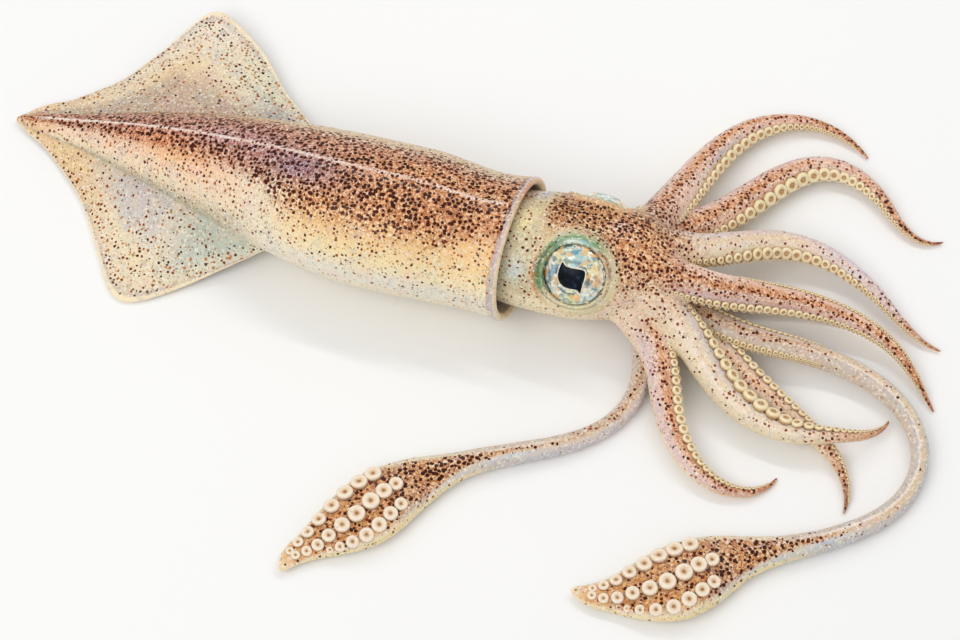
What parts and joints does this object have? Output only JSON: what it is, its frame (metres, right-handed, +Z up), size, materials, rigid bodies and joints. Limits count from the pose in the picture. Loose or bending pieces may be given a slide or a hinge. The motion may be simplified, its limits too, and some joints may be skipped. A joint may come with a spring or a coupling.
{
  "type": "whole raw squid",
  "caption": "Whole raw squid lying on its belly, with tapered mantle, two broad fins, large eyes, curling arms and two long clubbed tentacles.",
  "frame": {"origin": "middle of the mantle's resting flat on the belly, 120 mm in front of the tail tip", "axes": "+X along the body from the tail to the arms, +Y to the animal's left, +Z up from the surface it lies on"},
  "size_m": [0.3599, 0.2406, 0.0473],
  "materials": {
    "mantle_skin": "wet, glossy translucent skin with brown and orange pigment spots",
    "head_skin": "wet, glossy translucent skin with small brown pigment spots",
    "tentacle_skin": "wet, pale translucent skin with fine brown spots and cream suckers",
    "eye": "wet silver eyeball with a dark pupil"
  },
  "bodies": {
    "root": {"mantle": "mantle_skin", "head": "head_skin", "eye_left": "eye", "eye_right": "eye", "tentacle_left": "tentacle_skin", "tentacle_right": "tentacle_skin"}
  },
  "joints": []
}
